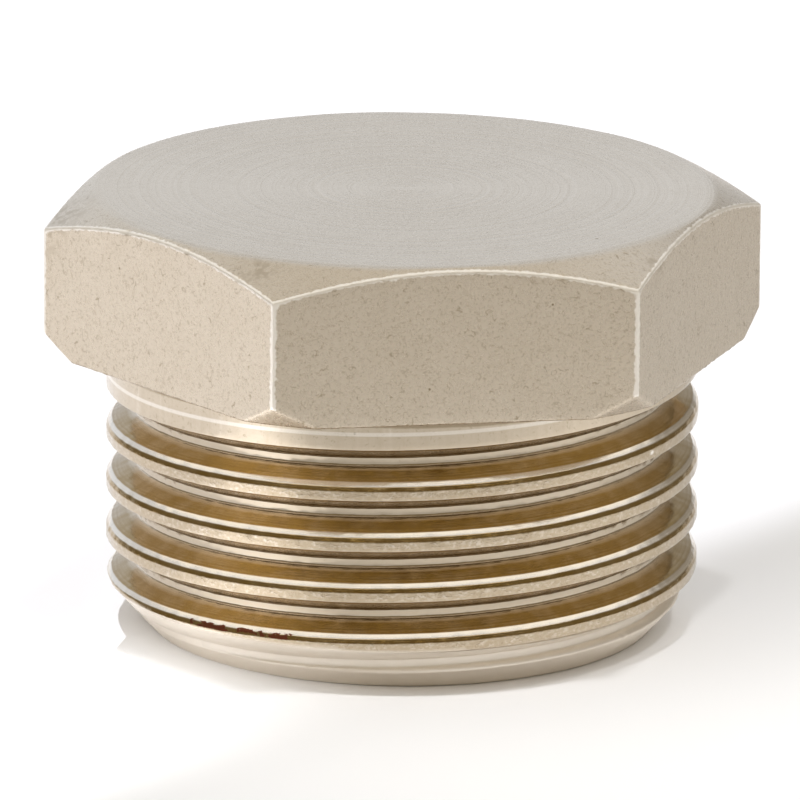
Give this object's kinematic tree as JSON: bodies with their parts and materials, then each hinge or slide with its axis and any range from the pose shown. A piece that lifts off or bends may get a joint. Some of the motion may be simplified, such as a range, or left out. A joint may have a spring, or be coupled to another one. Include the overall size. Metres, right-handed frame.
{
  "type": "blanking plug",
  "caption": "Plated blanking plug with a hexagon head and a short parallel pipe thread, for closing a threaded port.",
  "frame": {"origin": "on the axis, in the seating face under the hexagon head", "axes": "+Z along the axis out of the head; a corner of the hexagon on +X and two flats square to Y; the threaded shank runs down along -Z"},
  "size_m": [0.0254, 0.022, 0.0154],
  "materials": {
    "plated_metal": "satin pale nickel plate over brass"
  },
  "bodies": {
    "root": {"plug_body": "plated_metal"}
  },
  "joints": []
}
